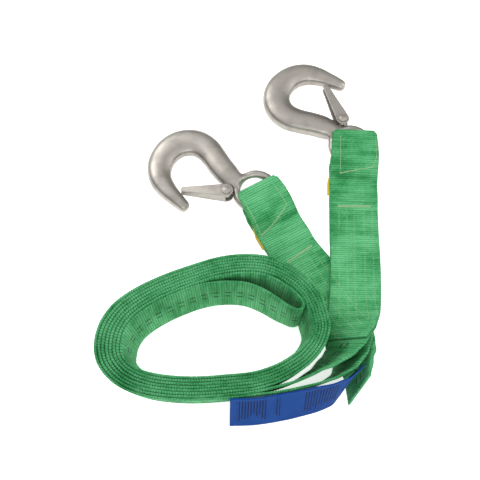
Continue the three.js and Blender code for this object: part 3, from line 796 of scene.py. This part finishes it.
def add_hook(side, eye, angle, flip):
    """One hook with its rivet, spring and latch, each in place of its node."""
    place = hook_matrix(eye, angle, flip)
    pivot = place @ Matrix.Translation((PIVOT_U, PIVOT_V, 0))
    turn = Matrix.Rotation(math.radians(LATCH_ANGLE), 4, "Z")
    latch_place = pivot @ turn @ Matrix.Rotation(math.pi, 4, "X")
    rows = [
        ("forging", "hook", (hook_points, hook_faces), place, "hook", "zinc_forging", zinc),
        ("rivet_head", "rivet", rivet_parts(), pivot, "hook", "zinc_sheet", zinc_sheet),
        ("spring_wire", "spring", spring_parts(), pivot, "hook", "zinc_sheet", steel),
        ("latch_sheet", "latch", (latch_points, latch_faces), latch_place, "latch", "zinc_sheet", zinc_sheet),
    ]
    for name, node, (points, faces), matrix, body, slot, finish in rows:
        obj = link(f"{name}_{side}", placed(matrix, points), faces)
        obj.data.materials.append(finish)
        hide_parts(f"{node}_{side}")
        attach(obj, f"{body}_{side}")


# Materials


class Nodes:
    """A material's node tree with short calls for the nodes used here."""

    def __init__(self, name):
        self.material = bpy.data.materials.new(name)
        self.material.use_nodes = True
        self.tree = self.material.node_tree
        self.shader = self.tree.nodes["Principled BSDF"]

    def put(self, socket, value):
        if isinstance(value, bpy.types.NodeSocket):
            self.tree.links.new(value, socket)
        else:
            socket.default_value = value

    def math(self, operation, a, b=0.0, c=0.0, clamp=False):
        node = self.tree.nodes.new("ShaderNodeMath")
        node.operation = operation
        node.use_clamp = clamp
        for socket, value in zip(node.inputs, (a, b, c)):
            self.put(socket, value)
        return node.outputs[0]

    def attribute(self, name):
        node = self.tree.nodes.new("ShaderNodeAttribute")
        node.attribute_name = name
        return node.outputs["Fac"]

    def position(self):
        return self.tree.nodes.new("ShaderNodeTexCoord").outputs["Object"]

    def noise(self, vector, scale, detail=3.0, rough=0.55):
        node = self.tree.nodes.new("ShaderNodeTexNoise")
        self.put(node.inputs["Vector"], vector)
        node.inputs["Scale"].default_value = scale
        node.inputs["Detail"].default_value = detail
        node.inputs["Roughness"].default_value = rough
        return node.outputs["Fac"]

    def vector(self, x, y, z=0.0):
        node = self.tree.nodes.new("ShaderNodeCombineXYZ")
        for socket, value in zip(node.inputs, (x, y, z)):
            self.put(socket, value)
        return node.outputs[0]

    def mix(self, share, a, b):
        node = self.tree.nodes.new("ShaderNodeMix")
        node.data_type = "RGBA"
        self.put(node.inputs["Factor"], share)
        self.put(node.inputs["A"], a)
        self.put(node.inputs["B"], b)
        return node.outputs["Result"]

    def ramp(self, value, low, high):
        node = self.tree.nodes.new("ShaderNodeMapRange")
        node.interpolation_type = "SMOOTHSTEP"
        self.put(node.inputs["Value"], value)
        node.inputs["From Min"].default_value = low
        node.inputs["From Max"].default_value = high
        return node.outputs[0]

    def bump(self, height, distance, strength=1.0):
        node = self.tree.nodes.new("ShaderNodeBump")
        node.inputs["Distance"].default_value = distance
        node.inputs["Strength"].default_value = strength
        self.put(node.inputs["Height"], height)
        self.put(self.shader.inputs["Normal"], node.outputs[0])

    def set(self, **values):
        for name, value in values.items():
            self.put(self.shader.inputs[name.replace("_", " ")], value)
        return self.material


def web_material():
    m = Nodes("webbing_green")
    along = m.attribute("along")
    across = m.attribute("across")
    face = m.attribute("face")
    phase = m.math("MULTIPLY", along, 1 / (RIB * MM))
    wave = m.math("COSINE", m.math("MULTIPLY", phase, 2 * math.pi))
    groove = m.ramp(wave, 0.2, 1.0)
    half_turn = m.math("MULTIPLY", phase, math.pi)
    pair = m.math("COSINE", half_turn)
    yarn = m.math("COSINE", m.math("ADD", m.math("MULTIPLY", across, 2 * math.pi * YARNS), half_turn))
    fine = m.vector(m.math("MULTIPLY", along, 400), m.math("MULTIPLY", across, 9), face)
    grain = m.noise(fine, 1.0, 4)
    broad = m.noise(m.position(), 28.0, 2)
    bands = m.vector(m.math("MULTIPLY", along, 1 / (COLUMN * MM)), m.math("MULTIPLY", across, 0.4), face)
    column = m.noise(bands, 1.0, 2, 0.7)
    light = m.math("ADD", m.math("ADD", broad, column), m.math("MULTIPLY", grain, 0.5))
    colour = m.mix(m.ramp(light, 0.95, 1.6), GREEN, GREEN_LIGHT)
    colour = m.mix(m.math("MULTIPLY", m.ramp(light, 1.25, 0.85), 0.35), colour, GREEN_DARK)
    colour = m.mix(m.math("MULTIPLY", m.ramp(pair, -1, 1), 0.14), colour, GREEN_DARK)
    # Painted shade: the grooves between the weft ribs are darkened towards GREEN_DARK, as shade falls in
    # them.
    colour = m.mix(m.math("MULTIPLY", groove, 0.5), colour, GREEN_DARK)
    # Painted shade: both selvedges are darkened towards GREEN_DARK, as shade in the narrow gaps between the
    # layers of the coil.
    edge = m.ramp(m.math("ABSOLUTE", across), 0.93, 1.0)
    colour = m.mix(m.math("MULTIPLY", edge, 0.25), colour, GREEN_DARK)
    half = WEB_WIDTH / 2
    dash_row = m.math("COMPARE", m.math("ABSOLUTE", across), DASH_PLACE / half, DASH_WIDTH / 2 / half)
    dash_phase = m.math("FRACT", m.math("MULTIPLY", along, 1 / (DASH_STEP * MM)))
    dash = m.math("MULTIPLY", dash_row, m.math("LESS_THAN", dash_phase, DASH_SHARE))
    dash = m.math("MULTIPLY", dash, m.math("GREATER_THAN", face, 0.5))
    colour = m.mix(m.math("MULTIPLY", dash, 0.95), colour, DASH_BLACK)
    height = m.math("ADD", m.math("MULTIPLY", yarn, 0.35), m.math("MULTIPLY", grain, 0.8))
    m.bump(m.math("SUBTRACT", height, m.math("MULTIPLY", groove, 0.9)), 0.00022, 0.8)
    return m.set(Base_Color=colour, Roughness=0.75, Specular_IOR_Level=0.18, Sheen_Weight=0.04)


def liner_material():
    m = Nodes("liner_yellow")
    along = m.attribute("along")
    across = m.attribute("across")
    weave = m.math("MULTIPLY", m.math("COSINE", m.math("MULTIPLY", along, 2 * math.pi / (1.3 * MM))),
                   m.math("COSINE", m.math("MULTIPLY", across, 2 * math.pi * 16)))
    grain = m.noise(m.position(), 260.0, 3)
    colour = m.mix(grain, YELLOW, (0.78, 0.60, 0.10, 1))
    colour = m.mix(m.math("MULTIPLY", m.ramp(weave, 0.0, 1.0), 0.25), colour, (0.30, 0.20, 0.02, 1))
    m.bump(m.math("ADD", weave, grain), 0.0002, 0.7)
    return m.set(Base_Color=colour, Roughness=0.8, Specular_IOR_Level=0.2, Sheen_Weight=0.05)


def label_material():
    m = Nodes("label_blue")
    along = m.attribute("along")
    across = m.attribute("across")
    face = m.attribute("face")
    weave = m.math("MULTIPLY", m.math("COSINE", m.math("MULTIPLY", along, 2 * math.pi / (0.9 * MM))),
                   m.math("COSINE", m.math("MULTIPLY", across, 2 * math.pi * 28)))
    broad = m.noise(m.position(), 40.0, 2)
    colour = m.mix(broad, BLUE, (0.007, 0.065, 0.29, 1))
    m.bump(weave, 0.00008, 0.6)
    steps = m.math("MULTIPLY", along, 1 / (BAR_STEP * MM))
    line = m.math("LESS_THAN", m.math("FRACT", steps), BAR_SHARE)
    row = m.math("FLOOR", steps)
    end = m.noise(m.vector(row, 3.0, 0.5), 7.3, 0)
    long_enough = m.math("GREATER_THAN", m.math("ADD", across, m.math("MULTIPLY", end, 1.1)), 0.15)
    inside = m.math("LESS_THAN", m.math("ABSOLUTE", across), 0.8)
    blocks = 0.0
    for start, stop in BAR_BLOCKS:
        after = m.math("GREATER_THAN", along, start * MM)
        block = m.math("MULTIPLY", after, m.math("LESS_THAN", along, stop * MM))
        blocks = m.math("ADD", blocks, block)
    bar = m.math("MULTIPLY", m.math("MULTIPLY", line, inside), m.math("MULTIPLY", long_enough, blocks))
    bar = m.math("MULTIPLY", bar, m.math("GREATER_THAN", face, 0.5))
    colour = m.mix(m.math("MULTIPLY", bar, 0.9), colour, (0.003, 0.008, 0.03, 1))
    return m.set(Base_Color=colour, Roughness=0.6, Specular_IOR_Level=0.05)


def metal_material(name, colour, dark, rough, grain_scale=420.0, relief=0.00012):
    m = Nodes(name)
    broad = m.noise(m.position(), 60.0, 4)
    grain = m.noise(m.position(), grain_scale, 3)
    tint = m.mix(m.math("MULTIPLY", m.ramp(broad, 0.42, 0.75), 0.45), colour, dark)
    m.bump(grain, relief, 0.5)
    spread = m.math("MULTIPLY_ADD", broad, 0.16, rough - 0.06)
    return m.set(Base_Color=tint, Metallic=1.0, Roughness=spread)


def thread_material():
    m = Nodes("thread_white")
    grain = m.noise(m.position(), 900.0, 2)
    m.bump(grain, 0.0002, 0.6)
    colour = m.mix(grain, THREAD_WHITE, THREAD_GREEN)
    return m.set(Base_Color=colour, Roughness=0.7, Specular_IOR_Level=0.2)


web_green = web_material()
liner_yellow = liner_material()
label_blue = label_material()
zinc = metal_material("zinc_forging", ZINC, ZINC_DARK, 0.43)
zinc_sheet = metal_material("zinc_sheet", ZINC, ZINC_DARK, 0.48, 700.0, 0.00006)
steel = metal_material("spring_steel", STEEL, ZINC_DARK, 0.3, 900.0, 0.00003)
thread_white = thread_material()

webbing.data.materials.append(web_green)
liner_left.data.materials.append(liner_yellow)
liner_right.data.materials.append(liner_yellow)
label.data.materials.append(label_blue)
add_hook("left", LEFT_EYE, LEFT_HOOK_ANGLE, False)
add_hook("right", RIGHT_EYE, RIGHT_HOOK_ANGLE, True)

# Stitching: each stitch is a short thread that rises from the cloth and sinks back into it

web_skin = BVHTree.FromObject(webbing, bpy.context.evaluated_depsgraph_get())
HIGHEST_SEAM = 30.0  # a seam that would come out on the coil isn't made


def on_cloth(x, y):
    """The top of the web over a place, in the source's frame, and whether it is on a strap."""
    start = Vector(to_row((x, y, 80)))
    hit = web_skin.ray_cast(webbing.matrix_world.inverted() @ start, Vector((0, 0, -1)))
    if hit[0] is None:
        return None
    point = np.array(webbing.matrix_world @ hit[0]) / MM - ORIGIN
    return point if point[2] < HIGHEST_SEAM else None


def stitch(a, b, radius):
    """One stitch from a to b, as vertices and faces."""
    rise = (-0.9, 0.45, 0.9, 1.0, 0.9, 0.45, -0.9)
    points = [a + (b - a) * i / 6 + UP * radius * lift for i, lift in enumerate(rise)]
    return wire(points, radius, 6)


def seam(eye, angle, places, length, radius=THREAD, gap=0.16):
    """Stitches along a line of (distance, shift) places on a strap, each about as long as length."""
    parts = []
    for (d0, s0), (d1, s1) in zip(places, places[1:]):
        whole = math.hypot(d1 - d0, s1 - s0)
        count = max(1, round(whole / length))
        for i in range(count):
            f0 = (i + gap / 2) / count
            f1 = (i + 1 - gap / 2) / count
            ends = []
            for f in (f0, f1):
                place, _ = run_place(eye, angle, d0 + (d1 - d0) * f, s0 + (s1 - s0) * f)
                ends.append(on_cloth(place[0], place[1]))
            if all(end is not None for end in ends) and abs(ends[0][2] - ends[1][2]) < length:
                parts.append(stitch(*ends, radius))
    return parts


def zigzag(start, end, half, step):
    """Corner places of a zigzag from start to end, half as wide as it is."""
    (d0, s0), (d1, s1) = start, end
    whole = math.hypot(d1 - d0, s1 - s0)
    count = round(whole / step)
    along = np.array((d1 - d0, s1 - s0)) / whole
    side = np.array((-along[1], along[0]))
    return [tuple(start + along * step * i + side * half * (1 if i % 2 else -1)) for i in range(count + 1)]


def add_seams(name, eye, angle, lines, tacks, rows):
    """All the stitches of one strap as one piece: lines, dense bar tacks and loose long rows."""
    parts = []
    for places in lines:
        parts += seam(eye, angle, places, 3.2)
    for start, end in tacks:
        parts += seam(eye, angle, zigzag(start, end, 1.3, 0.85), 3.0, THREAD, 0.05)
    for start, end in rows:
        parts += seam(eye, angle, zigzag(start, end, 1.4, 2.4), 3.0, THREAD * 0.55, 0.45)
    obj = link(name, *joined(parts))
    obj.data.materials.append(thread_white)
    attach(obj, "strap")
    return obj


right_lines = [
    [(-8, -14.1), (34, -14.6)],
    [(34, -14.9), (26.6, 19.6)],
    [(33.2, -14.7), (27.2, 18.6)],
    [(-5, 22.6), (16, 22.7), (26.9, 19.6)],
]
right_tacks = [((68.4, -16.2), (67.1, 16.5))]
right_rows = [((70.5, s), (196, s - 2)) for s in (-15.2, -7.2, 0.4, 10.4, 18.6)]
left_lines = [
    [(3, -19.5), (43, -21.2)],
    [(43, -21.4), (36.9, -1.1), (28.7, 16.4)],
    [(42.2, -20.9), (36.2, -1.0), (28.9, 15.6)],
    [(5, 16.4), (28.4, 16.4)],
]
left_tacks = [((79.8, -16.5), (75.6, 18.3))]
left_rows = [((79, s), (190, s + 1)) for s in (-15, -7, 1, 9, 17)]
right_strap = (RIGHT_EYE, RIGHT_STRAP_ANGLE)
left_strap = (LEFT_EYE, LEFT_STRAP_ANGLE)
stitches_right = add_seams("stitches_right", *right_strap, right_lines, right_tacks, right_rows)
stitches_left = add_seams("stitches_left", *left_strap, left_lines, left_tacks, left_rows)

# Floor, world and lights


def stage_floor():
    half = 4000.0
    drop = -0.2
    corners = [(-half, -half, drop), (half, -half, drop), (half, half, drop), (-half, half, drop)]
    floor = link("floor", corners, [(0, 1, 2, 3)], False)
    m = Nodes("floor_white")
    white = m.set(Base_Color=(0.93, 0.93, 0.93, 1), Roughness=0.9, Emission_Strength=FLOOR_GLOW)
    m.shader.inputs["Emission Color"].default_value = (1, 1, 1, 1)
    floor.data.materials.append(white)


def area_light(name, place, target, size, power):
    light = bpy.data.lights.new(name, "AREA")
    light.shape = "RECTANGLE"
    light.size, light.size_y = size
    light.energy = power
    obj = bpy.data.objects.new(name, light)
    bpy.context.collection.objects.link(obj)
    obj.location = to_row(place)
    direction = Vector(target) - Vector(place)
    obj.rotation_euler = direction.to_track_quat("-Z", "Y").to_euler()


stage_floor()
area_light("key", (-700, 700, 900), (0, 0, 0), (0.9, 0.6), 8)
area_light("front", (200, -900, 900), (0, 0, 0), (1.2, 0.5), 6)
area_light("side", (900, 200, 500), (0, 0, 0), (0.5, 0.9), 3)

world = bpy.data.worlds.new("studio")
bpy.context.scene.world = world
world.use_nodes = True
background = world.node_tree.nodes["Background"]
background.inputs["Strength"].default_value = 0.9

# A bright ceiling over darker walls gives the metal its dark bands
direction = world.node_tree.nodes.new("ShaderNodeSeparateXYZ")
coordinates = world.node_tree.nodes.new("ShaderNodeTexCoord")
world.node_tree.links.new(coordinates.outputs["Generated"], direction.inputs[0])
ceiling = world.node_tree.nodes.new("ShaderNodeMapRange")
ceiling.interpolation_type = "SMOOTHSTEP"
ceiling.inputs["From Min"].default_value = 0.35
ceiling.inputs["From Max"].default_value = 0.95
ceiling.inputs["To Min"].default_value = 0.28
ceiling.inputs["To Max"].default_value = 1.0
world.node_tree.links.new(direction.outputs["Z"], ceiling.inputs["Value"])
world.node_tree.links.new(ceiling.outputs[0], background.inputs["Color"])
bpy.context.scene.view_settings.view_transform = "Standard"
